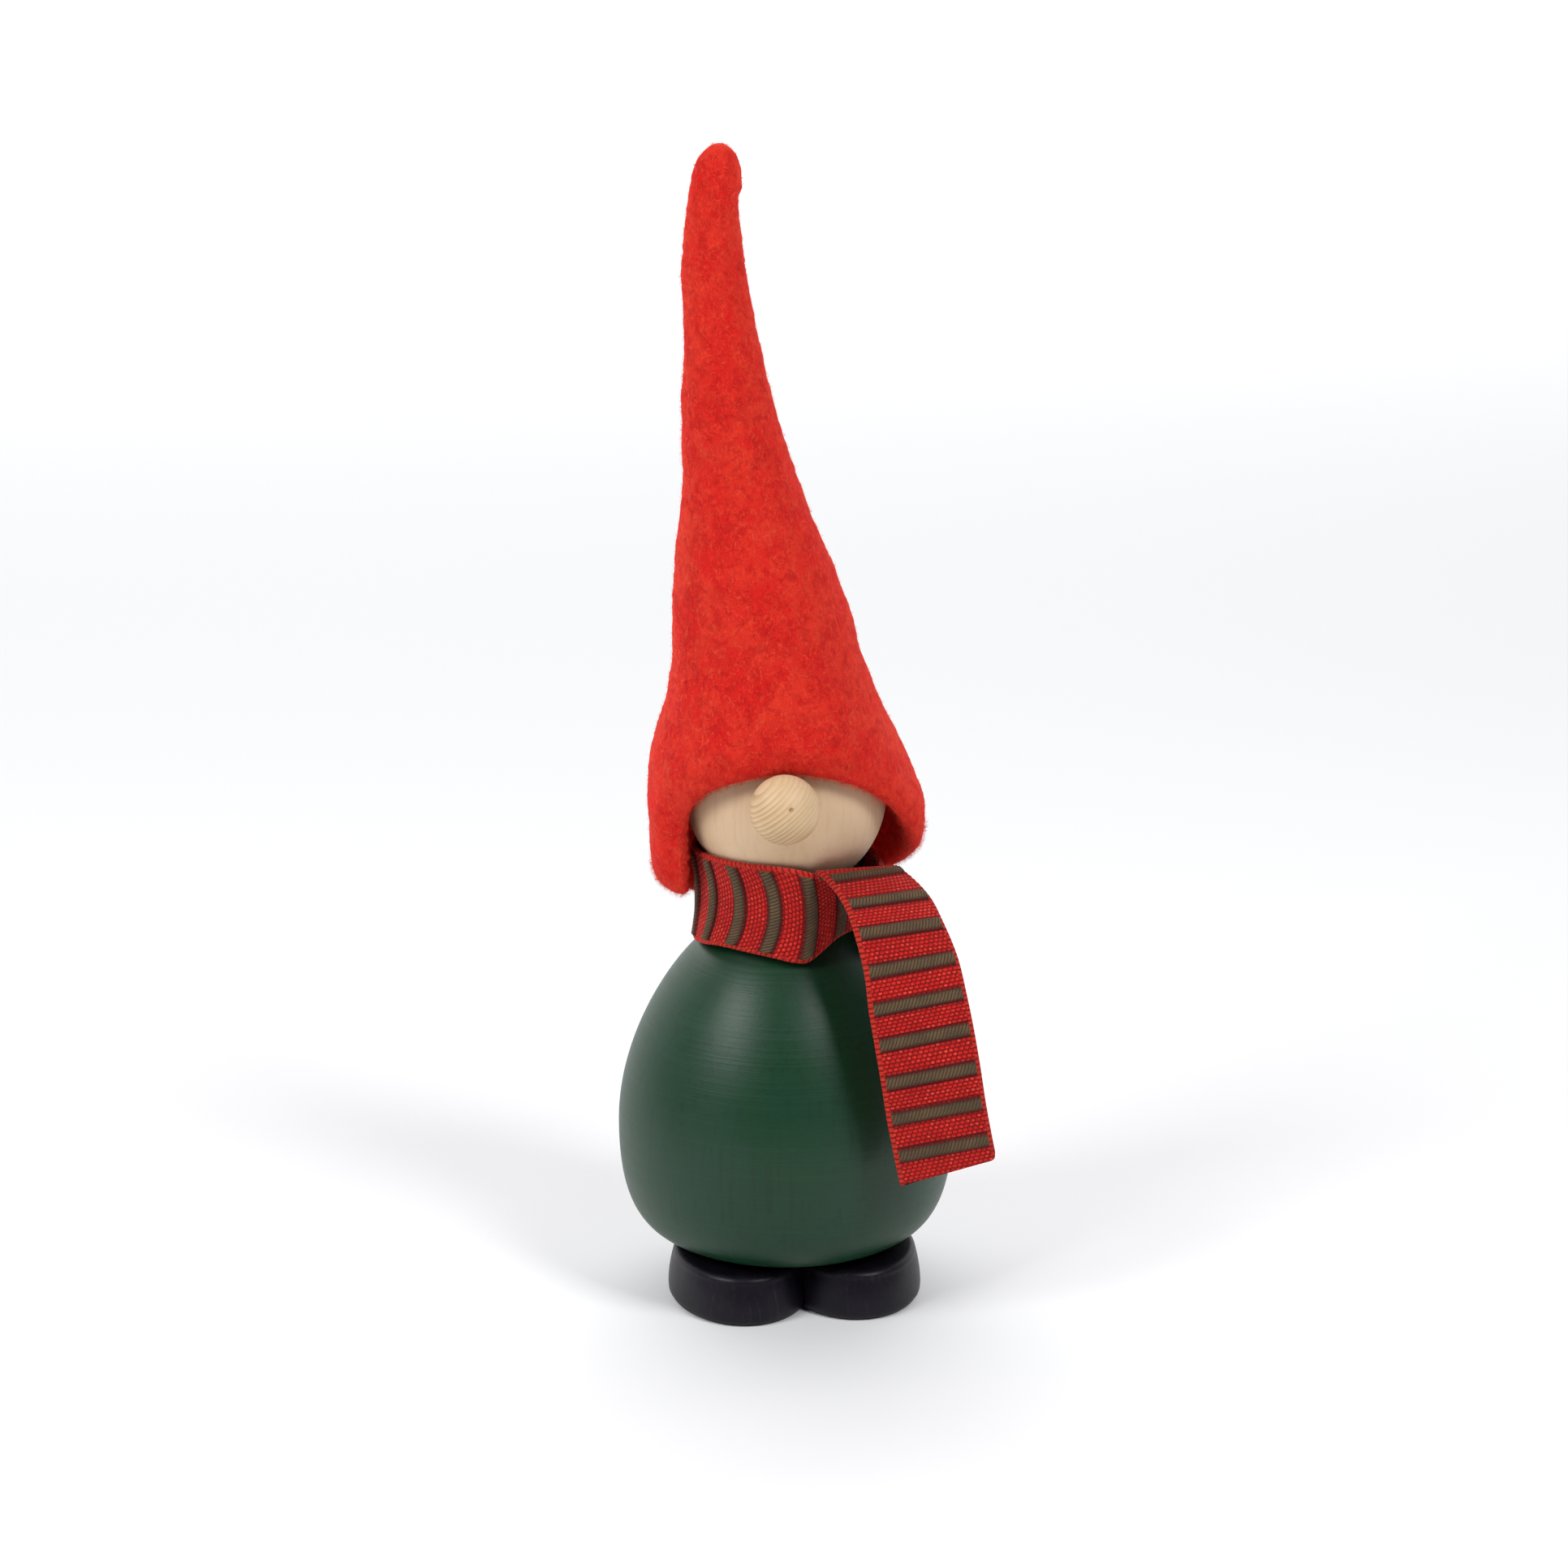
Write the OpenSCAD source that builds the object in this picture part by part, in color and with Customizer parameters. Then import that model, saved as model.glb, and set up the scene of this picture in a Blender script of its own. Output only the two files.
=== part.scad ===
// Standing gnome of turned wood with a felt cone hat and a woven ribbon scarf.
// Millimetres. The figure faces -Y, its left hand side is +X and +Z is up.
// The origin is on the table, straight below the turned body's axis.

/* [Body] */
// Underside of the turned body, which is also the height of the feet
body_bottom_z = 7.6; // [6:0.1:10]
// Flat radius under the body
body_foot_r = 13.9; // [10:0.1:18]
// Largest radius of the body
body_max_r = 26; // [20:0.1:32]
// Height of the largest radius
body_max_z = 25.6; // [20:0.1:32]
// Radius where the scarf's lower edge lies
body_shoulder_r = 13.3; // [11:0.1:13.3]
// Height of that shoulder
body_shoulder_z = 54.8; // [50:0.1:56]
// Radius of the small flat at the top of the body
body_top_r = 5; // [4:0.1:8]
// Height of the top flat, just under the head
body_top_z = 63.3; // [60:0.1:63.3]

/* [Feet] */
// Half of the width of one foot's oval
foot_half_w = 11; // [9:0.1:12.5]
// Half of its length from heel to toe
foot_half_l = 15; // [11:0.1:17]
// Distance of each oval's centre from the middle plane
foot_offset_x = 8.6; // [8:0.1:11]
// How far the pair of feet is glued off the body's axis, towards the figure's left
foot_shift = 0.4; // [0:0.1:1]
// How far each oval's centre is in front of the body's axis
foot_forward = 6.6; // [2:0.1:9]
// How much narrower the foot is at its top than at its widest
foot_taper = 0.7; // [0:0.1:1.5]
// Radius of the rounded upper edge
foot_edge_r = 1.0; // [0.4:0.1:2]

/* [Head and nose] */
// Radius of the head ball
head_r = 15.3; // [14:0.1:15.6]
// Height of the head ball's centre
head_z = 78.2; // [76:0.1:80]
// Height of the flat sawn under the head
head_flat_z = 63.5; // [63.5:0.1:64.5]
// Radius of the nose ball
nose_r = 5.2; // [3.5:0.1:6.5]
// Distance of the nose's glued flat from the nose's centre
nose_flat = 4.6; // [4:0.1:5]
// Sideways angle of the nose from the figure's front, degrees, minus is to its right
nose_yaw = -8.5; // [-12:0.5:12]
// Upward angle of the nose from the head's centre, degrees
nose_pitch = 8; // [0:0.5:20]
// Sideways angle of the lathe centre mark on the nose, degrees
mark_yaw = 3; // [-20:1:20]
// Upward angle of that mark, degrees
mark_pitch = 15; // [-20:1:30]

/* [Dowels] */
// Diameter of the neck dowel
neck_dowel_d = 6; // [4:0.5:7]
// Length of the neck dowel inside the body
neck_in_body = 14; // [8:0.5:20]
// Length of the neck dowel inside the head
neck_in_head = 10; // [6:0.5:14]
// Radial clearance of the dowel in the head, so that the head turns by hand
neck_clearance = 0.05; // [0.02:0.01:0.1]
// Diameter of the nose dowel
nose_dowel_d = 3; // [2:0.1:3.4]
// Diameter of each foot dowel
foot_dowel_d = 4; // [3:0.5:5]
// Length of a foot dowel on each side of the joint
foot_dowel_half = 5; // [3:0.5:6]

/* [Hat] */
// Thickness of the wool felt
felt_t = 2.8; // [1.5:0.1:3]
// Outer radius round the brim
brim_r = 21.3; // [20.5:0.1:24]
// Outer radius level with the top of the head
crown_r = 16.2; // [15.5:0.1:18]
// Outer radius halfway up the cone
mid_r = 9.4; // [8:0.1:12]
// Outer radius below the tip
upper_r = 4.4; // [3.5:0.1:6]
// Height of the hat's tip, which is the figure's height
tip_z = 176.3; // [150:0.1:200]
// Sideways lean of the tip towards the figure's right
tip_lean = 10.6; // [0:0.1:16]
// How far the brim sits back from the head's centre
brim_back = 1.5; // [0:0.1:2]
// Mean height of the hem
hem_z = 68.1; // [67:0.1:72]
// Rise of the hem over the face and its drop at the nape
hem_swing = 14.8; // [8:0.1:16]
// Rise of the hem towards the figure's left, as the hat tilts
hem_roll = 1.7; // [0:0.1:2.5]
// Extra arch of the hem over the face
hem_arch = 2.5; // [0:0.1:3]
// Thickness of the sewing thread
thread_d = 0.6; // [0.3:0.1:1]
// Height of one zigzag of the back seam
stitch_pitch = 4; // [3:0.5:8]

/* [Scarf] */
// Width of the ribbon
ribbon_w = 15; // [10:0.5:16]
// Thickness of the ribbon over its ribs
ribbon_t = 0.9; // [0.5:0.1:1.2]
// Outer radius of the wound ribbon at its edges
wrap_r = 14.3; // [14.3:0.1:15]
// Height of the wound ribbon's lower edge
wrap_z = 55.6; // [55:0.1:56]
// How far the wound ribbon is drawn in at the middle of its width
wrap_waist = 0.7; // [0:0.1:1]
// Height of the tail's lower end
tail_end_z = 26.9; // [22:0.1:29]

/* [Hidden] */
$fn = 96;
// Share of a curve between two named points
CURVE_STEPS = 12;
FOOT_TOP_R = foot_half_w - foot_taper;
// How far the sole's edge is drawn in, and how far the oval runs past both cuts
FOOT_SOLE_IN = 0.8;
FOOT_PAST = 1;
// Half size of the block that cuts a foot to its height and side
CUT = 40;
// Distances along the nose's line from the head's centre
SEAT = head_r - 0.18;
NOSE_C = SEAT + nose_flat;
NOSE_DOWEL_IN = 4.5;
NOSE_DOWEL_OUT = 3.2;
SEAT_R = 2.45;
MARK_R = 0.45;
MARK_DEPTH = 0.6;
// Extra depth of a blind hole past the end of its dowel
HOLE_END = 0.5;
// Where the foot dowels stand
FOOT_DOWEL_X = 7.6;
FOOT_DOWEL_Y = -4;
// Heights on the hat: crown, halfway, below the tip, start of the rounded tip
CROWN_Z = 95;
LOW_CONE_Z = 107;
MID_Z = 125;
HIGH_CONE_Z = 144;
UPPER_Z = 163;
DOME_Z = 171;
// Top of the hollow, above which the rolled felt is solid
HOLLOW_Z = 149;
// Stations up the hat: height, outer radius, lean towards the figure's right
HAT = [
    [48, brim_r - 2.1, 0],
    [60, brim_r - 0.9, 0],
    [72, brim_r, 0],
    [80, brim_r - 0.5, tip_lean * 0.05],
    [86, brim_r - 2.1, tip_lean * 0.13],
    [CROWN_Z, crown_r, tip_lean * 0.22],
    [LOW_CONE_Z, crown_r - 2.8, tip_lean * 0.37],
    [MID_Z, mid_r, tip_lean * 0.63],
    [HIGH_CONE_Z, mid_r - 3.1, tip_lean * 0.88],
    [UPPER_Z, upper_r, tip_lean * 1.01],
    [DOME_Z, upper_r - 0.7, tip_lean * 0.98],
    [tip_z + 8, upper_r - 1.2, tip_lean * 0.92]
];
LEAN_YAW = -8;
HAT_SIDES = 48;
HAT_RISE = 20;
HAT_DOME = 5;
// Thread path
THREAD_SIDES = 8;
THREAD_END_Z = 164;
THREAD_SWING = 1.5;
// Ribbon tail, middle of its width, from the fold at the neck to the end
TAIL = [
    [8.2, -10.7, wrap_z + 13.7],
    [10.5, -15.1, wrap_z + 13.3],
    [12.7, -19, wrap_z + 10.6],
    [14, -22.2, wrap_z + 7.1],
    [15.3, -24.7, 57.8],
    [16, -26.8, 52.8],
    [16.7, -28.2, 47.8],
    [17.6, -29.1, 42.1],
    [18.4, -29.4, 36.6],
    [19.5, -29.3, 30.8],
    [20.3, -29.1, tail_end_z]
];
// Upward slope of the ribbon's width once it hangs, degrees, and rings between stations
TAIL_TILT = 8;
TAIL_STEPS = 3;
// Sideways turn of the width where the ribbon leaves the neck, and how much of its width is spread there
TAIL_YAW = 32;
TAIL_GATHER = 0.88;
// Share of the tail's length over which it turns to the front and spreads
TAIL_SPREAD = 0.5;
// Height of the wound ribbon as a share of its width, as its edges curl a little
WRAP_RISE = 0.97;

// One point of a cubic curve
function cubic(a, b, c, d, t) =
    a * pow(1 - t, 3) + b * 3 * pow(1 - t, 2) * t + c * 3 * (1 - t) * t * t + d * t * t * t;

// Smooth value between four neighbouring values, t from 0 at b to 1 at c
function glide(a, b, c, d, t) =
    b + (c - a) * t / 2 + (a - 2.5 * b + 2 * c - d / 2) * t * t + (1.5 * (b - c) + (d - a) / 2) * t * t * t;

// Index of the station below a height
function below(z, i = 1) = i >= len(HAT) - 3 || HAT[i + 1][0] > z ? i : below(z, i + 1);

// Outer radius (k = 1) or lean (k = 2) of the hat at a height
function hat_at(z, k) =
    let (i = below(z), t = (z - HAT[i][0]) / (HAT[i + 1][0] - HAT[i][0]))
    glide(HAT[i - 1][k], HAT[i][k], HAT[i + 1][k], HAT[i + 2][k], t);

// Height of the hem at an angle from the face
function hem_at(a) = hem_z + hem_swing * cos(a) + hem_roll * sin(a) + hem_arch * cos(2 * a);

// How far back the hat sits at a height
function back_at(z) = brim_back * max(0, min(1, (CROWN_Z - z) / (CROWN_Z - 86)));

// A point of the hat, angle a from the face, moved in from the outside by inset
function hat_point(a, z, inset) =
    let (r = max(0.01, hat_at(z, 1) - inset), c = hat_at(z, 2))
    [r * sin(a) - c * cos(LEAN_YAW), back_at(z) - r * cos(a) - c * sin(LEAN_YAW), z];

// Closed skin through rings of points with a single point at each end
module skin(first, rings, last) {
    n = len(rings[0]);
    m = len(rings);
    points = concat([first], [for (r = rings) for (p = r) p], [last]);
    start = [for (j = [0:n - 1]) [0, 1 + j, 1 + (j + 1) % n]];
    sides = [
        for (i = [0:m - 2]) for (j = [0:n - 1])
        let (k = (j + 1) % n, a = 1 + i * n, b = 1 + (i + 1) * n)
        each [[a + j, b + j, b + k], [a + j, b + k, a + k]]
    ];
    end = [for (j = [0:n - 1]) [m * n + 1, 1 + (m - 1) * n + (j + 1) % n, 1 + (m - 1) * n + j]];
    polyhedron(points = points, faces = concat(start, sides, end), convexity = 8);
}

// Turned egg: bottom flat, belly, shoulder, top flat
module body() {
    low = [for (i = [0:CURVE_STEPS]) cubic(
        [body_foot_r, body_bottom_z], [body_foot_r + 8.4, body_bottom_z],
        [body_max_r, body_max_z - 13.5], [body_max_r, body_max_z], i / CURVE_STEPS)];
    high = [for (i = [1:CURVE_STEPS]) cubic(
        [body_max_r, body_max_z], [body_max_r, body_max_z + 13.4],
        [body_shoulder_r + 4.3, body_shoulder_z - 3.6], [body_shoulder_r, body_shoulder_z],
        i / CURVE_STEPS)];
    top = [for (i = [1:CURVE_STEPS / 2]) cubic(
        [body_shoulder_r, body_shoulder_z], [body_shoulder_r - 3.2, body_shoulder_z + 2.7],
        [body_top_r + 2.4, body_top_z], [body_top_r, body_top_z], i * 2 / CURVE_STEPS)];
    color([0.13, 0.28, 0.2]) difference() {
        rotate_extrude() polygon(concat([[0, body_bottom_z]], low, high, top, [[0, body_top_z]]));
        translate([0, 0, body_top_z - neck_in_body - HOLE_END])
            cylinder(h = neck_in_body + 2 * HOLE_END, d = neck_dowel_d);
        for (side = [-1, 1])
            translate([side * FOOT_DOWEL_X + foot_shift, FOOT_DOWEL_Y, body_bottom_z - HOLE_END])
                cylinder(h = foot_dowel_half + 2 * HOLE_END, d = foot_dowel_d);
    }
}

// Oval foot, cut flat where the two meet; side is -1 for the figure's right
module foot(side) {
    top_in = FOOT_TOP_R - foot_edge_r;
    corner = [for (i = [0:6]) [
        top_in + foot_edge_r * cos(i * 15), body_bottom_z - foot_edge_r + foot_edge_r * sin(i * 15)]];
    inner = foot_half_w - FOOT_SOLE_IN;
    color([0.1, 0.09, 0.11]) difference() {
        intersection() {
            translate([side * foot_offset_x + foot_shift, -foot_forward, 0])
                scale([1, foot_half_l / foot_half_w, 1])
                rotate_extrude() polygon(concat(
                    [[0, -FOOT_PAST], [inner - FOOT_PAST, -FOOT_PAST], [inner, 0]],
                    [[foot_half_w - 0.25, 0.4], [foot_half_w, 1.2]],
                    corner, [[top_in, body_bottom_z + FOOT_PAST], [0, body_bottom_z + FOOT_PAST]]));
            translate([foot_shift + (side > 0 ? 0 : -CUT), -CUT, 0]) cube([CUT, 2 * CUT, body_bottom_z]);
        }
        translate([side * FOOT_DOWEL_X + foot_shift, FOOT_DOWEL_Y, body_bottom_z])
            translate([0, 0, -foot_dowel_half - HOLE_END])
                cylinder(h = foot_dowel_half + 2 * HOLE_END, d = foot_dowel_d);
    }
}

module right_foot() {
    foot(-1);
}

module left_foot() {
    foot(1);
}

// Peg between a foot and the body
module foot_dowel(side) {
    color([0.8, 0.66, 0.48])
        translate([side * FOOT_DOWEL_X + foot_shift, FOOT_DOWEL_Y, body_bottom_z - foot_dowel_half])
            cylinder(h = 2 * foot_dowel_half, d = foot_dowel_d);
}

module right_foot_dowel() {
    foot_dowel(-1);
}

module left_foot_dowel() {
    foot_dowel(1);
}

// Peg glued in the body, on which the head turns
module neck_dowel() {
    color([0.8, 0.66, 0.48]) translate([0, 0, body_top_z - neck_in_body])
        cylinder(h = neck_in_body + head_flat_z - body_top_z + neck_in_head, d = neck_dowel_d);
}

// Puts children on the line from the head's centre through the nose, along +Z
module along_nose() {
    translate([0, 0, head_z]) rotate([90 - nose_pitch, 0, nose_yaw]) children();
}

// Ball head, flat below, with the neck bore and a small spot face for the nose
module head() {
    color([0.87, 0.74, 0.6]) difference() {
        translate([0, 0, head_z]) sphere(r = head_r);
        translate([-head_r, -head_r, head_flat_z - 2 * head_r]) cube(2 * head_r);
        translate([0, 0, head_flat_z - HOLE_END])
            cylinder(h = neck_in_head + 2 * HOLE_END, d = neck_dowel_d + 2 * neck_clearance);
        along_nose() translate([0, 0, SEAT]) cylinder(h = 2, r = SEAT_R);
        along_nose() translate([0, 0, SEAT - NOSE_DOWEL_IN - HOLE_END])
            cylinder(h = NOSE_DOWEL_IN + 2 * HOLE_END, d = nose_dowel_d);
    }
}

// Ball nose with its glued flat, dowel hole and lathe centre mark
module nose() {
    color([0.88, 0.78, 0.62]) difference() {
        along_nose() difference() {
            translate([0, 0, NOSE_C]) sphere(r = nose_r);
            translate([-nose_r, -nose_r, SEAT - 2 * nose_r]) cube(2 * nose_r);
            translate([0, 0, SEAT - HOLE_END])
                cylinder(h = NOSE_DOWEL_OUT + 2 * HOLE_END, d = nose_dowel_d);
        }
        translate([0, 0, head_z]) rotate([90 - nose_pitch, 0, nose_yaw]) translate([0, 0, NOSE_C])
            rotate([nose_pitch - 90, 0, 0]) rotate([0, 0, mark_yaw - nose_yaw])
                rotate([90 - mark_pitch, 0, 0]) translate([0, 0, nose_r - MARK_DEPTH])
                    cylinder(h = 2, r = MARK_R);
    }
}

// Peg between nose and head
module nose_dowel() {
    color([0.8, 0.66, 0.48]) along_nose() translate([0, 0, SEAT - NOSE_DOWEL_IN])
        cylinder(h = NOSE_DOWEL_IN + NOSE_DOWEL_OUT, d = nose_dowel_d);
}

// Felt cone: inside from the top of the hollow down, round the hem, outside up to the tip
module hat_felt() {
    angles = [for (j = [0:HAT_SIDES - 1]) j * 360 / HAT_SIDES];
    inside = [for (i = [HAT_RISE - 1:-1:0]) [for (a = angles)
        let (h = hem_at(a) + felt_t / 2, rise = (HOLLOW_Z - 2 - h) / (HAT_RISE - 1))
        hat_point(a, h + rise * i, felt_t)]];
    hem = [for (b = [-45, 0, 45]) [for (a = angles)
        let (p = hat_point(a, hem_at(a) + felt_t / 2, felt_t / 2 - felt_t / 2 * sin(b)))
        [p[0], p[1], hem_at(a) + felt_t / 2 * (1 - cos(b))]]];
    outside = [for (i = [0:HAT_RISE]) [for (a = angles)
        let (h = hem_at(a) + felt_t / 2) hat_point(a, h + (DOME_Z - h) * i / HAT_RISE, 0)]];
    dome = [for (i = [1:HAT_DOME]) [for (a = angles)
        let (b = i * 90 / (HAT_DOME + 1), z = DOME_Z + (tip_z - DOME_Z) * sin(b))
        hat_point(a, z, hat_at(z, 1) * (1 - cos(b)))]];
    color([0.82, 0.17, 0.13]) skin(
        hat_point(0, HOLLOW_Z, hat_at(HOLLOW_Z, 1)),
        concat(inside, hem, outside, dome),
        hat_point(0, tip_z, hat_at(tip_z, 1)));
}

// Zigzag thread along the back seam, half sunk in the felt
module hat_thread() {
    first_z = hem_at(180) + 3;
    turns = floor((THREAD_END_Z - first_z) * 2 / stitch_pitch);
    path = [for (i = [0:turns])
        let (z = first_z + i * stitch_pitch / 2, r = hat_at(z, 1), s = min(THREAD_SWING, r * 0.3))
        hat_point(180 + asin(s / r) * (i % 2 == 0 ? 1 : -1), z, 0)];
    rings = [for (i = [0:turns])
        let (leg = i < turns ? path[i + 1] - path[i] : path[i] - path[i - 1], wide = norm(leg) / leg[2])
        [for (j = [0:THREAD_SIDES - 1]) let (b = j * 360 / THREAD_SIDES)
            path[i] + thread_d / 2 * [wide * cos(b), sin(b), 0]]];
    color([0.6, 0.08, 0.07]) skin(path[0], rings, path[turns]);
}

// Middle of the tail's width at a place along it, s counts the stations
function tail_mid(s) =
    let (i = min(floor(s), len(TAIL) - 2), t = s - i)
    glide(TAIL[max(i - 1, 0)], TAIL[i], TAIL[i + 1], TAIL[min(i + 2, len(TAIL) - 1)], t);

// Wound ribbon and its hanging tail, one length of ribbon
module scarf() {
    last = len(TAIL) - 1;
    wound = [for (i = [0:8]) let (v = i / 8)
        [wrap_r - wrap_waist * (1 - pow(2 * v - 1, 2)), wrap_z + ribbon_w * v * WRAP_RISE]];
    steps = last * TAIL_STEPS;
    rings = [for (i = [0:steps])
        let (
            s = i / TAIL_STEPS,
            share = i / steps,
            along = tail_mid(min(s + 0.05, last)) - tail_mid(max(s - 0.05, 0)),
            settled = min(1, share / TAIL_SPREAD),
            tilt = TAIL_TILT * settled,
            yaw = TAIL_YAW * (1 - settled),
            w = [cos(yaw) * cos(tilt), sin(yaw) * cos(tilt), sin(tilt)],
            n = cross(along, w) / norm(cross(along, w)),
            half = ribbon_w / 2 * (TAIL_GATHER + (1 - TAIL_GATHER) * settled),
            p = tail_mid(s))
        [p - w * half - n * ribbon_t / 2, p + w * half - n * ribbon_t / 2,
            p + w * half + n * ribbon_t / 2, p - w * half + n * ribbon_t / 2]];
    color([0.72, 0.14, 0.1]) union() {
        rotate_extrude() polygon(concat(wound, [for (i = [8:-1:0]) wound[i] - [ribbon_t, 0]]));
        skin((rings[0][0] + rings[0][2]) / 2, rings, (rings[steps][0] + rings[steps][2]) / 2);
    }
}

body();
right_foot();
left_foot();
right_foot_dowel();
left_foot_dowel();
neck_dowel();
head();
nose();
nose_dowel();
hat_felt();
hat_thread();
scarf();
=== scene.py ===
"""Looks of the standing gnome: turned wood, red felt hat and striped ribbon, in the CAD model's frame."""
import math

import bpy
import numpy as np
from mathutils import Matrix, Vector


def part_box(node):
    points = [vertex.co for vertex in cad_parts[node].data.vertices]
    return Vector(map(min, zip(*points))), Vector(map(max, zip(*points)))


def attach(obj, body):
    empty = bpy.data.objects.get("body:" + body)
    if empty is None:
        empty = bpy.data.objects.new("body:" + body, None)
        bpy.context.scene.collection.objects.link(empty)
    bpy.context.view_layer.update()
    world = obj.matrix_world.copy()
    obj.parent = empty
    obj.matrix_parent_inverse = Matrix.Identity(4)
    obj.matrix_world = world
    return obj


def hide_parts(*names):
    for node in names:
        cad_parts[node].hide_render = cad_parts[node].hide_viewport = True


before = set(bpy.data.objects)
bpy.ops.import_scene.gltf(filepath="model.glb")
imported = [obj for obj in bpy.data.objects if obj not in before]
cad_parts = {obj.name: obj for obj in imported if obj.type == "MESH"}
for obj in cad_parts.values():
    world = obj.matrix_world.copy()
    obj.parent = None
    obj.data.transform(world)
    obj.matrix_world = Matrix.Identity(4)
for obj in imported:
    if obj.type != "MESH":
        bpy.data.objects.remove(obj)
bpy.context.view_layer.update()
MM = 0.001
SEED = 7

# ---------------------------------------------------------------- sizes, in mm


def node_box(name):
    return [[c / MM for c in corner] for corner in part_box(name)]


BODY_BOX, HEAD_BOX, HAT_BOX = node_box("body"), node_box("head"), node_box("hat_felt")
BODY_BOTTOM, BODY_TOP = BODY_BOX[0][2], BODY_BOX[1][2]
# the body's widest ring, the flat under it, the flat on top of it and the edge between its side and top
BODY_R, BODY_R_Z = BODY_BOX[1][0], 25.6
BODY_FLAT_R, BODY_TOP_R = 13.9, 5.0
SHOULDER_R, SHOULDER_Z = 13.3, 54.8
DOWEL_HOLE_R = 3.05
FOOT_HALF_W = 11.0
# rounding of a foot's upper and lower edges, and how its wall draws in towards the top
FOOT_EDGE, SOLE_EDGE = 1.1, 1.4
FOOT_BULGE, FOOT_SLOPE = 0.7, 0.1
HEAD_R = HEAD_BOX[1][0]
HEAD_Z = HEAD_BOX[1][2] - HEAD_R
HEAD_FLAT_Z = HEAD_BOX[0][2]
# the nose's radius, its flat back's distance from its centre, and how far that is set into the head
NOSE_R, NOSE_FLAT, NOSE_INTO_HEAD = 5.2, 4.6, 0.18
NOSE_YAW, NOSE_PITCH = -8.5, 8.0
# the lathe's mark on the nose: which way it looks, its radius and its depth
MARK_YAW, MARK_PITCH = 3.0, 15.0
MARK_R, MARK_DEPTH = 0.38, 0.3
TIP_Z = HAT_BOX[1][2]
# the felt's thickness, and how far from the hem its cut edge starts to round off
FELT_T, FELT_EDGE = 2.8, 2.0
RIBBON_W, RIBBON_T = 15.0, 0.8
# the repeat of the stripes along the ribbon, and the width and rise of the raised one
STRIPE, RIB, RIB_RISE = 5.6, 2.15, 0.55
# the woven edge's width and the pitch of its loops, the size of a float and the thickness of a ply
SELVEDGE, EDGE_LOOP = 0.75, 0.8
FLOAT_ROW, FLOAT_LENGTH, PLY = 0.58, 0.8, 0.55


# ---------------------------------------------------------------- small maths


def cubic(a, b, c, d, steps):
    """Points of a cubic curve, both ends included."""
    t = np.linspace(0, 1, steps + 1)[:, None]
    a, b, c, d = (np.array(p, float) for p in (a, b, c, d))
    return a * (1 - t) ** 3 + 3 * b * (1 - t) ** 2 * t + 3 * c * (1 - t) * t * t + d * t**3


def full_turn(steps):
    """Angles of one whole turn, the last one a step short of it."""
    return np.linspace(0, 2 * math.pi, steps, endpoint=False)


def spline(stations, at):
    """Smooth curve through rows (position, values...), read at the given positions."""
    rows = np.array(stations, float)
    x, y = rows[:, 0], rows[:, 1:]
    at = np.asarray(at, float)
    slope = np.gradient(y, x, axis=0)
    i = np.clip(np.searchsorted(x, at, side="right") - 1, 0, len(x) - 2)
    h = np.asarray(x[i + 1] - x[i])[..., None]
    t = np.asarray(at - x[i])[..., None] / h
    ends = (1 + 2 * t) * (1 - t) ** 2 * y[i] + t * t * (3 - 2 * t) * y[i + 1]
    return ends + h * (t * (1 - t) ** 2 * slope[i] - t * t * (1 - t) * slope[i + 1])


def smooth(edge0, edge1, x):
    """A soft step, from 0 at one edge to 1 at the other."""
    t = np.clip((np.asarray(x, float) - edge0) / (edge1 - edge0), 0, 1)
    return t * t * (3 - 2 * t)


def lumps(points, size, seed):
    """Smooth noise around 0, of height about 1, at points in mm, made of a few waves of about that size."""
    rng = np.random.default_rng(seed)
    total = np.zeros(points.shape[:-1])
    waves = 14
    for _ in range(waves):
        way = rng.normal(size=3)
        way *= 2 * math.pi / (size * rng.uniform(0.7, 1.6) * np.linalg.norm(way))
        total += np.sin(points @ way + rng.uniform(0, 2 * math.pi))
    return total / math.sqrt(waves)


def unit(v):
    return v / np.maximum(np.linalg.norm(v, axis=-1, keepdims=True), 1e-9)


# ---------------------------------------------------------------- mesh makers


def add_mesh(name, points, faces, body, uv=None):
    """A smooth mesh object from points in mm, riding on a CAD body."""
    mesh = bpy.data.meshes.new(name)
    mesh.from_pydata((np.asarray(points) * MM).tolist(), [], faces)
    if uv is not None:
        layer = mesh.uv_layers.new(name="cloth")
        loops = np.empty(len(mesh.loops), int)
        mesh.loops.foreach_get("vertex_index", loops)
        layer.data.foreach_set("uv", np.asarray(uv)[loops].astype(np.float32).ravel())
    mesh.shade_smooth()
    mesh.validate()
    obj = bpy.data.objects.new(name, mesh)
    bpy.context.scene.collection.objects.link(obj)
    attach(obj, body)
    return obj


def grid_faces(rows, cols):
    """Quads of a grid of points, wrapped round along its columns."""
    faces = []
    for i in range(rows - 1):
        for j in range(cols):
            k = (j + 1) % cols
            a, b = i * cols, (i + 1) * cols
            faces.append((a + j, a + k, b + k, b + j))
    return faces


def tube_skin(name, rings, body):
    """A closed skin over rings of points, shape (rings, points, 3), with a fan at each end."""
    rows, cols = rings.shape[:2]
    points = np.vstack([rings.reshape(-1, 3), rings[0].mean(0), rings[-1].mean(0)])
    low, high = rows * cols, rows * cols + 1
    last = (rows - 1) * cols
    faces = grid_faces(rows, cols)
    faces += [(low, (j + 1) % cols, j) for j in range(cols)]
    faces += [(high, last + j, last + (j + 1) % cols) for j in range(cols)]
    return add_mesh(name, points, faces, body)


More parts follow.
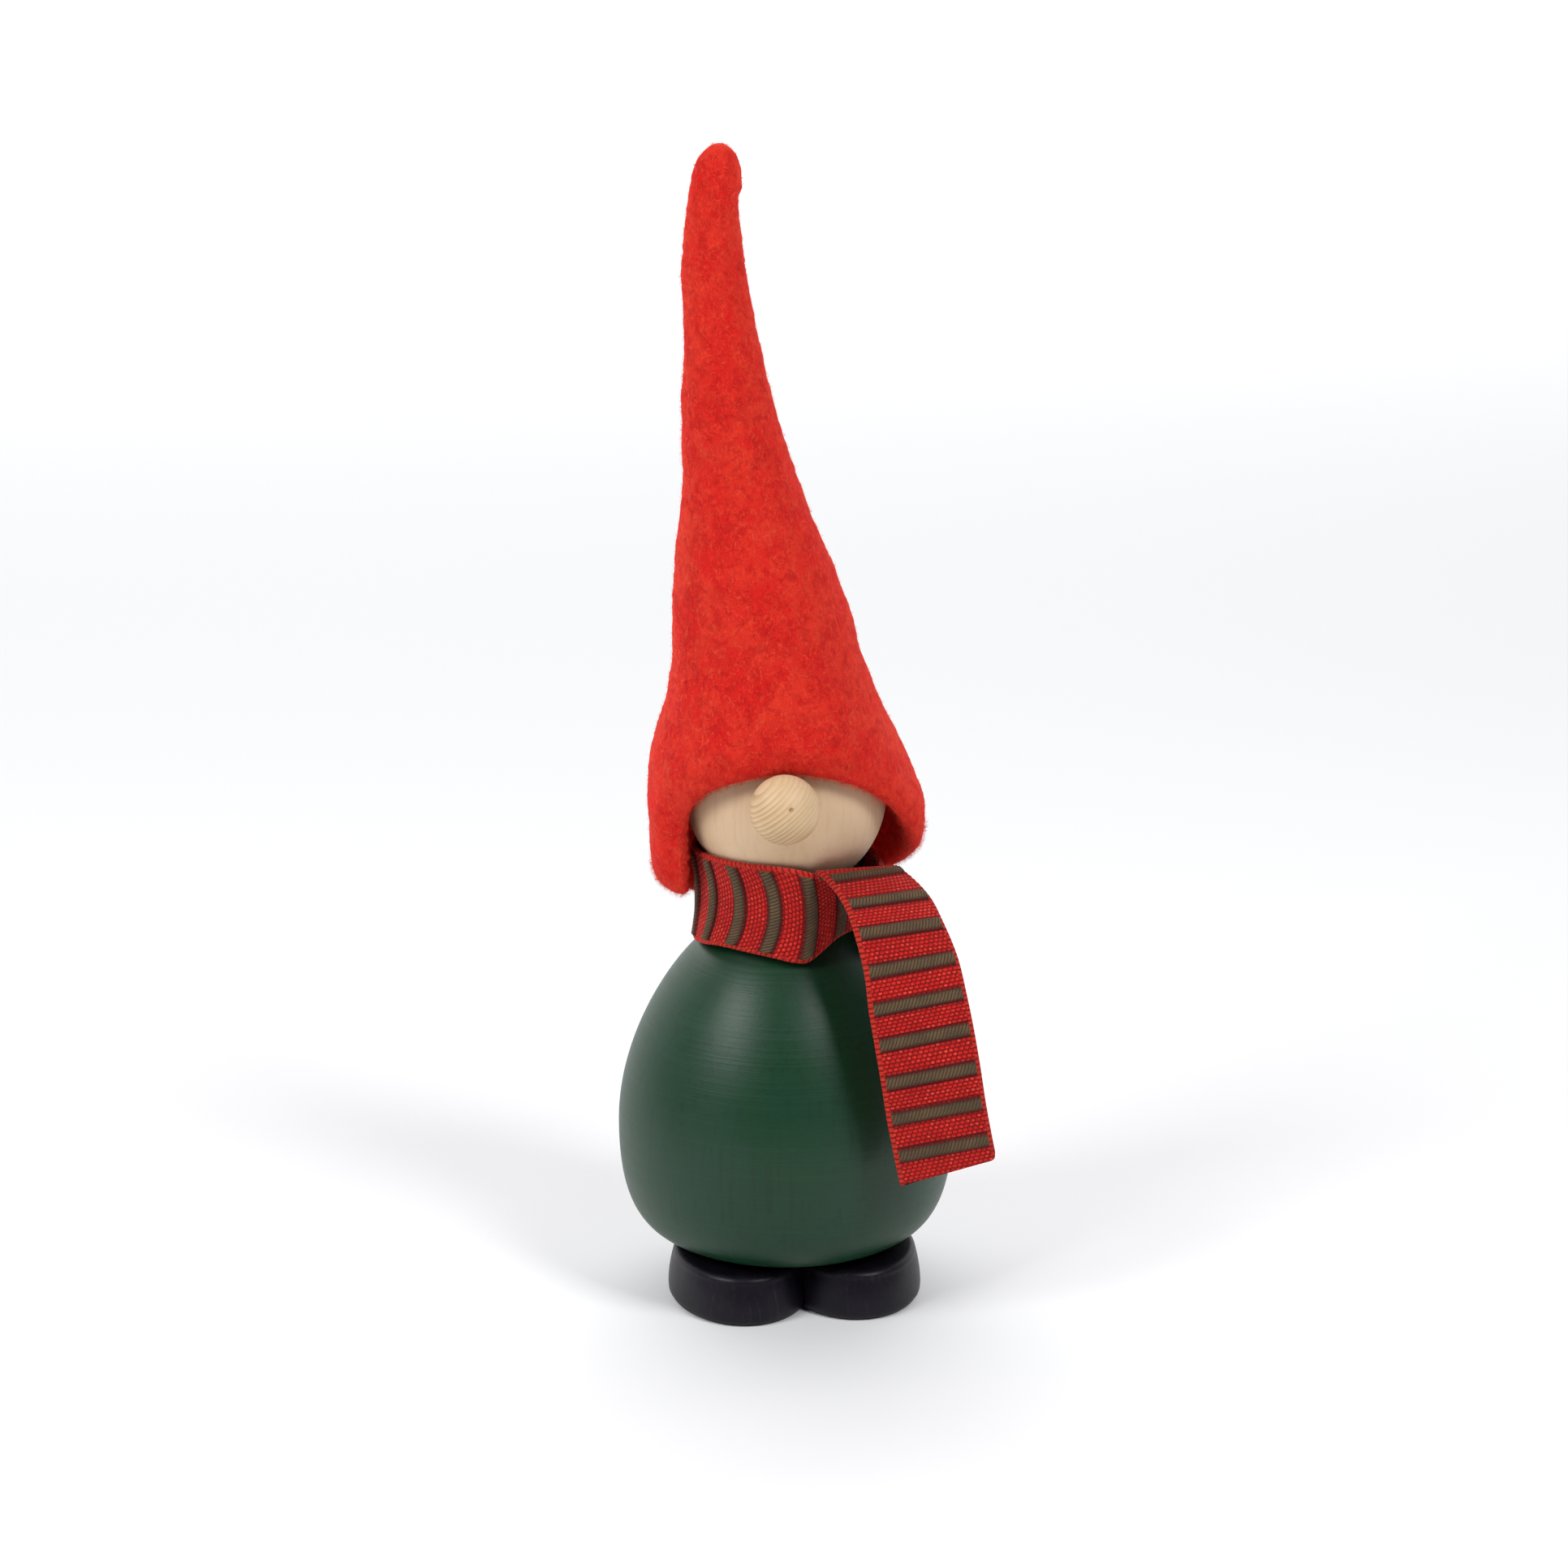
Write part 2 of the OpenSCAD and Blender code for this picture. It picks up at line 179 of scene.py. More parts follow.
def lathe(profile, sides):
    """Rings of a turned shape about Z, from rows [radius, height], bottom first."""
    turn = full_turn(sides)
    r, z = profile[:, 0][:, None], profile[:, 1][:, None]
    return np.stack([r * np.sin(turn), -r * np.cos(turn), z + 0 * turn], -1)


# ---------------------------------------------------------------- materials


def colour(value):
    """Adds the alpha that a colour socket wants; other values pass through."""
    return (*value, 1.0) if isinstance(value, tuple) and len(value) == 3 else value


def srgb(r, g, b):
    """Linear colour from the 0 to 255 values that a screen shows."""
    shown = (r / 255, g / 255, b / 255)
    return tuple(c / 12.92 if c <= 0.04045 else ((c + 0.055) / 1.055) ** 2.4 for c in shown)


class Shade:
    """A material's nodes, written as calls."""

    def __init__(self, name, rough, **sockets):
        self.material = bpy.data.materials.new(name)
        self.material.use_nodes = True
        self.tree = self.material.node_tree
        self.tree.nodes.clear()
        out = self.tree.nodes.new("ShaderNodeOutputMaterial")
        self.shader = self.tree.nodes.new("ShaderNodeBsdfPrincipled")
        self.shader.inputs["Roughness"].default_value = rough
        for key, value in sockets.items():
            self.shader.inputs[key.replace("_", " ")].default_value = colour(value)
        self.tree.links.new(self.shader.outputs["BSDF"], out.inputs["Surface"])
        self.height = None

    def put(self, socket, value):
        if hasattr(value, "is_output"):
            self.tree.links.new(value, socket)
        elif value is not None:
            socket.default_value = value

    def node(self, kind, **inputs):
        made = self.tree.nodes.new(kind)
        for key, value in inputs.items():
            self.put(made.inputs[key.replace("_", " ")], value)
        return made

    def place(self, scale=(1, 1, 1), turn=(0, 0, 0)):
        """Object coordinates in mm, scaled along each axis and then turned."""
        coords = self.tree.nodes.new("ShaderNodeTexCoord")
        mapping = self.tree.nodes.new("ShaderNodeMapping")
        self.put(mapping.inputs["Vector"], coords.outputs["Object"])
        mapping.inputs["Scale"].default_value = [s / MM for s in scale]
        mapping.inputs["Rotation"].default_value = [math.radians(a) for a in turn]
        return mapping.outputs["Vector"]

    def math(self, kind, a, b=None):
        made = self.tree.nodes.new("ShaderNodeMath")
        made.operation = kind
        self.put(made.inputs[0], a)
        self.put(made.inputs[1], b)
        return made.outputs[0]

    def noise(self, vector, scale=1.0, detail=4.0, rough=0.5, twist=0.0):
        made = self.node("ShaderNodeTexNoise", Scale=scale, Detail=detail, Roughness=rough, Distortion=twist)
        self.put(made.inputs["Vector"], vector)
        return made.outputs["Fac"]

    def arch(self, value):
        """A sine arch over each whole step of the value, 0 at both of its ends."""
        return self.math("SINE", self.math("MULTIPLY", self.math("FRACT", value), math.pi))

    def inverse(self, value):
        return self.math("SUBTRACT", 1.0, value)

    def spread(self, value, low, high):
        """Maps value from low..high to 0..1, clamped and with soft ends."""
        made = self.node("ShaderNodeMapRange")
        self.put(made.inputs["Value"], value)
        made.inputs["From Min"].default_value = low
        made.inputs["From Max"].default_value = high
        made.interpolation_type = "SMOOTHSTEP"
        return made.outputs["Result"]

    def mix(self, share, a, b):
        made = self.tree.nodes.new("ShaderNodeMix")
        made.data_type = "RGBA"
        self.put(made.inputs["Factor"], share)
        first, second = (i for i in made.inputs if i.type == "RGBA")
        self.put(first, colour(a))
        self.put(second, colour(b))
        return next(o for o in made.outputs if o.type == "RGBA")

    def layer(self, under, over, mask, share):
        """Lays a colour over another where the mask is high."""
        return self.mix(self.math("MULTIPLY", mask, share), under, over)

    def bump(self, height, depth_mm, strength):
        """Adds a layer of relief over those before it; depth is the relief's full height."""
        made = self.tree.nodes.new("ShaderNodeBump")
        made.inputs["Strength"].default_value = strength
        made.inputs["Distance"].default_value = depth_mm * MM
        self.put(made.inputs["Height"], height)
        if self.height is not None:
            self.put(made.inputs["Normal"], self.height)
        self.height = made.outputs["Normal"]
        self.put(self.shader.inputs["Normal"], self.height)

    def base(self, value):
        self.put(self.shader.inputs["Base Color"], colour(value))

    def rough(self, value):
        self.put(self.shader.inputs["Roughness"], value)


def felt_material():
    """Thick wool felt: cloudy red, with lighter and darker strands that lie every way."""
    s = Shade("red_wool_felt", 0.95, Sheen_Weight=0.12, Sheen_Roughness=0.55, Sheen_Tint=(1.0, 0.3, 0.2),
              Specular_IOR_Level=0.12, Subsurface_Weight=0.4)
    s.shader.inputs["Subsurface Radius"].default_value = (0.004, 0.0006, 0.0005)
    s.shader.inputs["Subsurface Scale"].default_value = 1.0
    cloud = s.spread(s.noise(s.place(), 0.14, 4, 0.65, 0.8), 0.36, 0.64)
    blotch = s.spread(s.noise(s.place(), 0.42, 4, 0.6, 1.2), 0.42, 0.66)
    tuft = s.noise(s.place(), 0.95, 3, 0.55, 1.6)
    strand = s.noise(s.place((2.6, 0.5, 0.7), (20, 35, 10)), 1.0, 3, 0.6, 2.0)
    strand2 = s.noise(s.place((0.6, 2.2, 0.8), (-40, 15, 60)), 1.0, 3, 0.6, 2.0)
    red = s.mix(cloud, srgb(228, 52, 36), srgb(220, 30, 27))
    red = s.layer(red, srgb(188, 15, 20), blotch, 0.6)
    red = s.layer(red, srgb(238, 88, 56), s.spread(tuft, 0.52, 0.72), 0.45)
    red = s.layer(red, srgb(242, 100, 66), s.spread(strand, 0.55, 0.72), 0.45)
    red = s.layer(red, srgb(182, 14, 18), s.spread(strand2, 0.54, 0.74), 0.3)
    s.base(red)
    s.bump(tuft, 0.5, 0.6)
    s.bump(strand, 0.3, 0.8)
    s.bump(strand2, 0.3, 0.8)
    return s.material


def fibre_material():
    s = Shade("felt_fibres", 0.9, Sheen_Weight=0.2, Sheen_Tint=(1.0, 0.4, 0.3), Specular_IOR_Level=0.15)
    tint = s.noise(s.place(), 0.9, 2)
    s.base(s.mix(s.spread(tint, 0.3, 0.7), srgb(204, 32, 26), srgb(238, 70, 48)))
    return s.material


def thread_material():
    s = Shade("red_sewing_thread", 0.55, Sheen_Weight=0.3)
    ply = s.noise(s.place((3, 3, 9)), 1.0, 2)
    s.base(s.mix(ply, srgb(150, 16, 14), srgb(205, 40, 30)))
    s.bump(ply, 0.08, 0.8)
    return s.material


def green_material():
    """Green stain with fine lathe rings round the piece and grain along it."""
    s = Shade("green_stained_wood", 0.38, Specular_IOR_Level=0.37)
    ring = s.noise(s.place((0.02, 0.02, 3.2)), 1.0, 4, 0.7)
    fine = s.noise(s.place((0.05, 0.05, 9.0)), 1.0, 3, 0.6)
    grain = s.noise(s.place((0.9, 0.9, 0.05)), 1.0, 5, 0.65, 0.4)
    cloud = s.noise(s.place(), 0.09, 3, 0.5)
    pore = s.noise(s.place((3.4, 3.4, 0.35)), 1.0, 3, 0.6)
    green = s.mix(s.spread(cloud, 0.3, 0.7), srgb(9, 54, 28), srgb(16, 56, 35))
    green = s.layer(green, srgb(6, 36, 20), s.spread(grain, 0.5, 0.72), 0.45)
    green = s.layer(green, srgb(24, 64, 42), s.spread(ring, 0.5, 0.68), 0.4)
    green = s.layer(green, srgb(12, 34, 24), s.spread(pore, 0.62, 0.72), 0.5)
    s.base(green)
    s.rough(s.math("ADD", s.math("MULTIPLY", ring, 0.16), 0.33))
    s.bump(ring, 0.05, 0.5)
    s.bump(fine, 0.02, 0.5)
    s.bump(grain, 0.04, 0.3)
    return s.material


def black_material():
    """Black stain, thin enough for the upright grain to show as lighter streaks."""
    s = Shade("black_stained_wood", 0.45, Specular_IOR_Level=0.26)
    grain = s.noise(s.place((1.6, 1.6, 0.12)), 1.0, 5, 0.65, 0.3)
    cloud = s.noise(s.place(), 0.25, 3, 0.6)
    black = s.mix(s.spread(cloud, 0.35, 0.7), srgb(11, 7, 17), srgb(19, 14, 25))
    black = s.layer(black, srgb(44, 37, 46), s.spread(grain, 0.54, 0.74), 0.7)
    s.base(black)
    s.rough(s.math("ADD", s.math("MULTIPLY", grain, 0.2), 0.32))
    s.bump(grain, 0.05, 0.5)
    return s.material


def bare_material():
    """Pale close-grained wood without a coat, with faint upright grain and pores."""
    s = Shade("bare_birch", 0.58, Specular_IOR_Level=0.3, Subsurface_Weight=0.08)
    s.shader.inputs["Subsurface Radius"].default_value = (0.0012, 0.0006, 0.0003)
    s.shader.inputs["Subsurface Scale"].default_value = 1.0
    grain = s.noise(s.place((0.8, 0.8, 0.06), (4, 3, 0)), 1.0, 5, 0.6, 0.5)
    cloud = s.noise(s.place(), 0.07, 2)
    pore = s.noise(s.place((3.2, 3.2, 0.4)), 1.0, 3, 0.6)
    wood = s.mix(s.spread(cloud, 0.3, 0.7), srgb(206, 176, 140), srgb(213, 184, 150))
    wood = s.layer(wood, srgb(194, 158, 122), s.spread(grain, 0.48, 0.7), 0.3)
    wood = s.layer(wood, srgb(190, 152, 116), s.spread(pore, 0.6, 0.72), 0.4)
    s.base(wood)
    s.bump(grain, 0.03, 0.3)
    s.bump(pore, 0.03, 0.3)
    return s.material


def nose_material(centre):
    """Growth rings of a turned ball, which rise from its lower left to its upper right."""
    ring_tilt, rings_per_mm, wobble_mm = -42, 1.5, 0.9
    s = Shade("nose_growth_rings", 0.5, Specular_IOR_Level=0.35)
    coords = s.tree.nodes.new("ShaderNodeTexCoord")
    shift = s.tree.nodes.new("ShaderNodeMapping")
    s.put(shift.inputs["Vector"], coords.outputs["Object"])
    shift.vector_type = "TEXTURE"
    shift.inputs["Location"].default_value = [c * MM for c in centre]
    shift.inputs["Rotation"].default_value = [0, math.radians(ring_tilt), 0]
    scale = s.node("ShaderNodeMapping")
    s.put(scale.inputs["Vector"], shift.outputs["Vector"])
    scale.inputs["Scale"].default_value = (0.12 / MM, 0.25 / MM, 1 / MM)
    parts = s.node("ShaderNodeSeparateXYZ")
    s.put(parts.inputs["Vector"], scale.outputs["Vector"])
    wobble = s.noise(scale.outputs["Vector"], 0.55, 2, 0.5)
    along = s.math("ADD", parts.outputs["Z"], s.math("MULTIPLY", wobble, wobble_mm))
    wave = s.math("FRACT", s.math("MULTIPLY", along, rings_per_mm))
    line = s.spread(wave, 0.25, 0.95)
    fine = s.noise(scale.outputs["Vector"], 4.0, 4, 0.6)
    # the rings show most on the side where the turned face cuts across them
    shown = s.inverse(s.math("MULTIPLY", s.spread(parts.outputs["X"], -0.25, 0.3), 0.65))
    wood = s.layer(srgb(214, 184, 144), srgb(186, 150, 108), s.math("MULTIPLY", line, shown), 0.9)
    wood = s.layer(wood, srgb(196, 162, 120), s.spread(fine, 0.45, 0.7), 0.4)
    s.base(wood)
    s.bump(line, 0.05, 0.4)
    return s.material


def hole_material():
    """The small mark that the lathe's centre leaves."""
    s = Shade("dark_pin_hole", 0.9)
    s.base(s.mix(s.noise(s.place(), 3.0), srgb(168, 138, 106), srgb(186, 156, 122)))
    return s.material


def dowel_material():
    s = Shade("dowel_wood", 0.6)
    grain = s.noise(s.place((1.5, 1.5, 0.1)), 1.0, 4, 0.6)
    s.base(s.mix(grain, srgb(200, 164, 118), srgb(224, 192, 148)))
    return s.material


def ribbon_material():
    """Woven ribbon from its own length (u) and width (v), both in mm in the cloth map."""
    s = Shade("striped_woven_ribbon", 0.85, Sheen_Weight=0.1, Sheen_Tint=(1.0, 0.5, 0.4),
              Specular_IOR_Level=0.2)
    cloth = s.tree.nodes.new("ShaderNodeUVMap")
    cloth.uv_map = "cloth"
    split = s.node("ShaderNodeSeparateXYZ")
    s.put(split.inputs["Vector"], cloth.outputs["UV"])
    u, v = split.outputs["X"], split.outputs["Y"]
    grainy = s.noise(s.place(), 2.2, 3, 0.6)
    tone = s.spread(s.noise(s.place(), 0.35, 3, 0.6), 0.3, 0.7)
    rim = s.spread(s.math("ABSOLUTE", v), RIBBON_W / 2 - SELVEDGE, RIBBON_W / 2 - SELVEDGE + 0.25)
    inner = s.inverse(rim)

    # the raised stripe and the groove at each of its sides, by distance from the stripe's middle; the groove
    # gets a dark line of painted shade
    ragged = s.math("MULTIPLY", grainy, 0.03)
    phase = s.math("FRACT", s.math("ADD", s.math("DIVIDE", u, STRIPE), ragged))
    from_rib = s.math("ABSOLUTE", s.math("SUBTRACT", phase, 0.515))
    half = RIB / STRIPE / 2
    rib = s.math("MULTIPLY", s.inverse(s.spread(from_rib, half - 0.07, half + 0.05)), inner)
    from_side = s.math("ABSOLUTE", s.math("SUBTRACT", from_rib, half))
    painted_groove_shade = s.math("MULTIPLY", s.inverse(s.spread(from_side, 0.01, 0.06)), inner)

    # floats of the weft: short slanted cells, each row part of a cell on; painted shade darkens the gaps
    # between floats
    row = s.math("DIVIDE", u, FLOAT_ROW)
    shift = s.math("MULTIPLY", s.math("FLOOR", row), 0.37)
    cell = s.math("ADD", s.math("DIVIDE", v, FLOAT_LENGTH), shift)
    weave = s.math("MULTIPLY", s.math("POWER", s.arch(cell), 0.7), s.math("POWER", s.arch(row), 0.7))
    red = s.mix(tone, srgb(210, 32, 26), srgb(188, 22, 19))
    # painted shade in the gaps between floats
    red = s.mix(s.spread(weave, 0.1, 0.65), srgb(124, 8, 12), red)
    # painted highlight: lighter specks on the tops of some floats
    painted_fleck_highlight = s.math("MULTIPLY", s.spread(weave, 0.6, 0.95), s.spread(grainy, 0.5, 0.66))
    red = s.layer(red, srgb(236, 100, 76), painted_fleck_highlight, 0.8)

    # plied yarn of the raised stripe, its turns lying aslant, with painted shade between its turns
    ply = s.arch(s.math("ADD", s.math("DIVIDE", v, PLY), s.math("DIVIDE", u, 2 * PLY)))
    olive = s.mix(tone, srgb(106, 84, 58), srgb(86, 70, 52))
    olive = s.mix(s.spread(ply, 0.1, 0.8), srgb(62, 52, 38), olive)
    # painted shade: the raised stripe darkens towards its edges, as a round cord turns away from the light
    olive = s.mix(s.spread(from_rib, half * 0.35, half * 1.05), olive, srgb(44, 36, 28))

    # painted shade: a dark line along the grooves beside each raised stripe
    cloth_colour_and_shade = s.layer(s.mix(rib, red, olive), srgb(44, 12, 14), painted_groove_shade, 0.7)
    # the woven edge, with painted shade between its loops
    loop = s.arch(s.math("DIVIDE", u, EDGE_LOOP))
    edge = s.mix(s.spread(loop, 0.2, 0.8), srgb(132, 16, 16), srgb(204, 48, 34))
    s.base(s.mix(rim, cloth_colour_and_shade, edge))
    s.bump(s.mix(rib, weave, s.math("MULTIPLY", ply, 0.5)), 0.2, 1.0)
    s.bump(grainy, 0.06, 0.6)
    return s.material


# ---------------------------------------------------------------- wooden pieces


def make_body():
    """An egg turned on a lathe, with a flat underside and a low step on top that carries the head."""
    bottom, belly = (BODY_FLAT_R, BODY_BOTTOM), (BODY_R, BODY_R_Z)
    shoulder, top = (SHOULDER_R, SHOULDER_Z), (BODY_TOP_R, BODY_TOP)
    # the middle two points of each curve set how full it is
    low = cubic(bottom, (22.3, BODY_BOTTOM), (BODY_R, BODY_R_Z - 13.5), belly, 60)
    high = cubic(belly, (BODY_R, BODY_R_Z + 13.4), (SHOULDER_R + 4.3, SHOULDER_Z - 3.6), shoulder, 60)
    step = cubic(shoulder, (SHOULDER_R - 3.2, SHOULDER_Z + 2.7), (7.4, BODY_TOP), top, 16)
    flat = np.array([[r, BODY_BOTTOM] for r in np.linspace(0.5, BODY_FLAT_R - 0.4, 8)])
    cap = np.array([[r, BODY_TOP] for r in np.linspace(BODY_TOP_R - 0.4, DOWEL_HOLE_R, 4)])
    rings = lathe(np.vstack([flat, low, high[1:], step[1:], cap]), 220)
    piece = tube_skin("turned_body", rings, "figure")
    piece.data.materials.append(green_material())
    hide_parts("body")


def foot_profile(top):
    """Rows [half width, height] of a foot, from the middle of its underside to the middle of its top."""
    w = FOOT_HALF_W
    under = [(r, 0.0) for r in np.linspace(1.0, w - SOLE_EDGE, 6)]
    sole = [(w - 1.0, 0.0), (w - 0.35, 0.2), (w - 0.05, 0.7), (w, SOLE_EDGE)]
    wall_top = top - FOOT_EDGE
    wall = [
        (w - FOOT_BULGE * t * t - FOOT_SLOPE * t, SOLE_EDGE + (wall_top - SOLE_EDGE) * t)
        for t in np.linspace(0.1, 1, 12)
    ]
    edge_r = w - FOOT_BULGE - FOOT_SLOPE - FOOT_EDGE
    shoulder = [
        (edge_r + FOOT_EDGE * math.cos(a), wall_top + FOOT_EDGE * math.sin(a))
        for a in np.linspace(0.1, math.pi / 2, 9)
    ]
    inner = [(r, top) for r in np.linspace(edge_r - 0.5, 1.0, 8)]
    return np.array(under + sole + wall + shoulder + inner)


def make_feet():
    """Two oval blocks with rounded edges, each cut flat on the side where it meets the other."""
    black = black_material()
    for side, node in ((-1, "right_foot"), (1, "left_foot")):
        low, high = node_box(node)
        seam, outside = (high[0], low[0]) if side < 0 else (low[0], high[0])
        centre_x = outside - side * FOOT_HALF_W
        centre_y, half_l = (low[1] + high[1]) / 2, (high[1] - low[1]) / 2
        profile = foot_profile(high[2])
        turn = full_turn(200)
        r = profile[:, 0][:, None]
        x = centre_x + r * np.sin(turn)
        x = np.where(side * (x - seam) < 0, seam, x)
        y = centre_y - r * np.cos(turn) * half_l / FOOT_HALF_W
        rings = np.stack([x, y, profile[:, 1][:, None] + 0 * turn], -1)
        piece = tube_skin("foot_" + ("right" if side < 0 else "left"), rings, "figure")
        piece.data.materials.append(black)
        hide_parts(node)


def direction(yaw, pitch):
    """A way out from the figure: yaw from the face towards the figure's left, pitch upwards."""
    a, b = math.radians(yaw), math.radians(pitch)
    return np.array([math.sin(a) * math.cos(b), -math.cos(a) * math.cos(b), math.sin(b)])


def make_head():
    """A turned ball with a flat underside, on which it stands."""
    start = -math.asin((HEAD_Z - HEAD_FLAT_Z) / HEAD_R)
    arc = np.linspace(start, math.pi / 2 - 0.01, 110)
    ball = np.stack([HEAD_R * np.cos(arc), HEAD_Z + HEAD_R * np.sin(arc)], -1)
    flat = np.array([[r, HEAD_FLAT_Z] for r in np.linspace(DOWEL_HOLE_R, ball[0, 0] - 0.1, 4)])
    piece = tube_skin("head_ball", lathe(np.vstack([flat, ball]), 200), "head")
    piece.data.materials.append(bare_material())
    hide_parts("head")


def make_nose():
    """A small ball turned about the line through its lathe mark, cut flat at the back where it is glued."""
    way = direction(NOSE_YAW, NOSE_PITCH)
    centre = np.array([0, 0, HEAD_Z]) + way * (HEAD_R - NOSE_INTO_HEAD + NOSE_FLAT)
    mark = direction(MARK_YAW, MARK_PITCH)
    side = unit(np.cross(mark, [0, 0, 1.0]))
    up = np.cross(side, mark)
    arc = np.linspace(-math.pi / 2 + 0.02, math.pi / 2 - 0.09, 90)
    ball = [(NOSE_R * math.cos(a), NOSE_R * math.sin(a)) for a in arc]
    hole = [(0.36, NOSE_R - 0.06), (0.28, NOSE_R - 0.16), (0.16, NOSE_R - 0.26), (0.04, NOSE_R - 0.3)]
    rows = np.array(ball + hole)
    turn = full_turn(120)
    r, h = rows[:, 0][:, None, None], rows[:, 1][:, None, None]
    rings = centre + mark * h + r * (side * np.cos(turn)[:, None] + up * np.sin(turn)[:, None])
    behind = ((rings - centre) @ way) + NOSE_FLAT
    rings = np.where((behind < 0)[..., None], rings - way * behind[..., None], rings)
    piece = tube_skin("nose_ball", rings, "head")
    piece.data.materials.append(nose_material(centre))
    piece.data.materials.append(hole_material())
    for face in piece.data.polygons:
        at = np.array(face.center) / MM - centre
        off = at - mark * (at @ mark)
        if at @ mark > NOSE_R - 2 * MARK_DEPTH and np.linalg.norm(off) < MARK_R:
            face.material_index = 1
    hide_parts("nose")


# ---------------------------------------------------------------- felt hat

# height, outer radius and lean towards the figure's right, turned by LEAN_YAW
HAT = [
    (44, 18.6, 0.0),
    (54, 19.3, 0.0),
    (62, 20.2, -0.1),
    (70, 20.95, -0.4),
    (76.4, 21.1, -0.4),
    (81.6, 20.1, 0.6),
    (86.7, 18.7, 1.25),
    (93.1, 16.35, 1.9),
    (99.6, 14.45, 2.9),
    (106, 13.45, 3.6),
    (112.4, 12.1, 4.4),
    (118.8, 10.45, 5.5),
    (125, 8.95, 6.5),
    (131.4, 7.75, 7.6),
    (137.6, 6.8, 8.45),
    (144, 5.95, 9.15),
    (150, 5.25, 9.9),
    (156, 4.7, 10.5),
    (162, 4.15, 10.75),
    (168, 3.75, 10.6),
    (TIP_Z, 3.4, 9.7),
    (TIP_Z + 6, 3.1, 9.1),
]
# azimuth from the face towards the figure's left, and the hem's height there
HEM = [
    (-190, 56.0),
    (-180, 55.8),
    (-150, 57.0),
    (-130, 59.6),
    (-113, 62.2),
    (-102, 63.4),
    (-90, 63.9),
    (-80, 63.7),
    (-73, 63.9),
    (-68.6, 64.4),
    (-66.6, 65.6),
    (-65.9, 67.8),
    (-65.6, 70.4),
    (-65.1, 73.0),
    (-63.9, 75.2),
    (-61.5, 77.2),
    (-57.0, 78.7),
    (-51.5, 80.1),
    (-44.5, 81.7),
    (-37, 82.9),
    (-27, 84.0),
    (-14, 85.1),
    (-3, 85.5),
    (9, 84.95),
    (25, 83.45),
    (33, 82.3),
    (39, 81.1),
    (45, 79.6),
    (50, 78.2),
    (55, 76.4),
    (60, 74.6),
    (66, 72.6),
    (73, 70.6),
    (81, 69.0),
    (90, 67.3),
    (103, 64.7),
    (118, 62.3),
    (130, 60.3),
    (150, 57.8),
    (180, 55.8),
    (190, 56.0),
]
LEAN_YAW = -8
# how far the hat's lower part sits back on the head, and the heights between which that ends
HAT_BACK, HAT_BACK_FROM, HAT_BACK_TO = 1.5, 86, 95
# the radius at which distances to the hem are measured, and the height above it where they stop mattering
HEM_R, HEM_REACH = 20.0, 16
# where the tip starts to round off, and the top of the hat's hollow
DOME_Z, HOLLOW_Z = 171.5, 146.0
HAT_COLS, INSIDE_ROWS, OUTSIDE_ROWS = 480, 110, 330
SEAM_DEPTH, SEAM_HALF_W = 0.55, 0.7
FIBRES, QUICK_FIBRES = 30000, 5000
# steps along a fibre, and how far into the felt it is rooted
FIBRE_STEPS, FIBRE_ROOT = 3, 0.06
# distances up from the hem of the first rows of points, close together where the edge is round
HEM_ROWS = [0.03, 0.1, 0.22, 0.4, 0.65, 0.95, 1.3, 1.7, 2.2]


def hat_point(angle, z, inset):
    """A point of the hat, angle in degrees from the face, moved in from the outside by inset."""
    values = spline(HAT, z)
    r, lean = values[..., 0] - inset, values[..., 1]
    a, yaw = np.radians(angle), math.radians(LEAN_YAW)
    back = HAT_BACK * np.clip((HAT_BACK_TO - z) / (HAT_BACK_TO - HAT_BACK_FROM), 0, 1)
    x = r * np.sin(a) - lean * math.cos(yaw)
    y = back - r * np.cos(a) - lean * math.sin(yaw)
    return np.stack([x, y, z + 0 * a], -1)


def hem_at(angle):
    """Height of the hem at an azimuth."""
    return spline(HEM, (np.asarray(angle) + 180) % 360 - 180)[..., 0]


def hem_line():
    """Angles, heights and running length of the hem, every quarter of a degree."""
    angle = np.linspace(-180, 180, 4 * 360 + 1)
    hem = hem_at(angle)
    step = np.hypot(np.diff(np.radians(angle)) * HEM_R, np.diff(hem))
    return angle, hem, np.concatenate([[0], np.cumsum(step)])


def hem_distance(angle, z, line):
    """Distance of points to the hem, measured on the flattened felt."""
    across = np.radians((angle[:, None] - line[0][None] + 180) % 360 - 180) * HEM_R
    return np.sqrt(np.min(across**2 + (z[:, None] - line[1][None]) ** 2, axis=1))


def bell(angle, centre, width):
    """1 at an azimuth, falling off softly to both sides of it."""
    return np.exp(-(((angle - centre) / width) ** 2))


def hem_curl(angle, near):
    """How far the felt turns in towards the head near its hem, most beside the face on both sides."""
    most = 0.35 + 0.8 * bell(angle, -68, 14) + 0.3 * bell(angle, 56, 12)
    return most * (1 - smooth(0, 4.5, near))


def hem_thinning(angle, near):
    """How much thinner the felt is near the front edge on the figure's right, where it rounds off more."""
    return 0.9 * bell(angle, -70, 14) * (1 - smooth(0, 5.5, near))


def hat_relief(points, angle, z):
    """How far the felt stands out from the smooth cone, in mm: dents, nap and the furrow of the back seam."""
    soft = 0.2 * lumps(points, 19, SEED) + 0.07 * lumps(points, 6, SEED + 1)
    nap = 0.05 * lumps(points, 1.6, SEED + 2) + 0.035 * lumps(points, 0.8, SEED + 3)
    from_back = np.radians(np.abs((angle + 360) % 360 - 180)) * spline(HAT, z)[..., 0]
    furrow = -SEAM_DEPTH * np.exp(-((from_back / SEAM_HALF_W) ** 2))
    return soft * smooth(60, 75, z) + nap + furrow * smooth(170, 160, z)


def tip_fold(angle, z):
    """The rolled end of the felt, which stands out on the figure's left just below the tip."""
    return 0.55 * bell(angle, 96, 60) * smooth(168.4, 169.6, z) * smooth(176, 171, z)


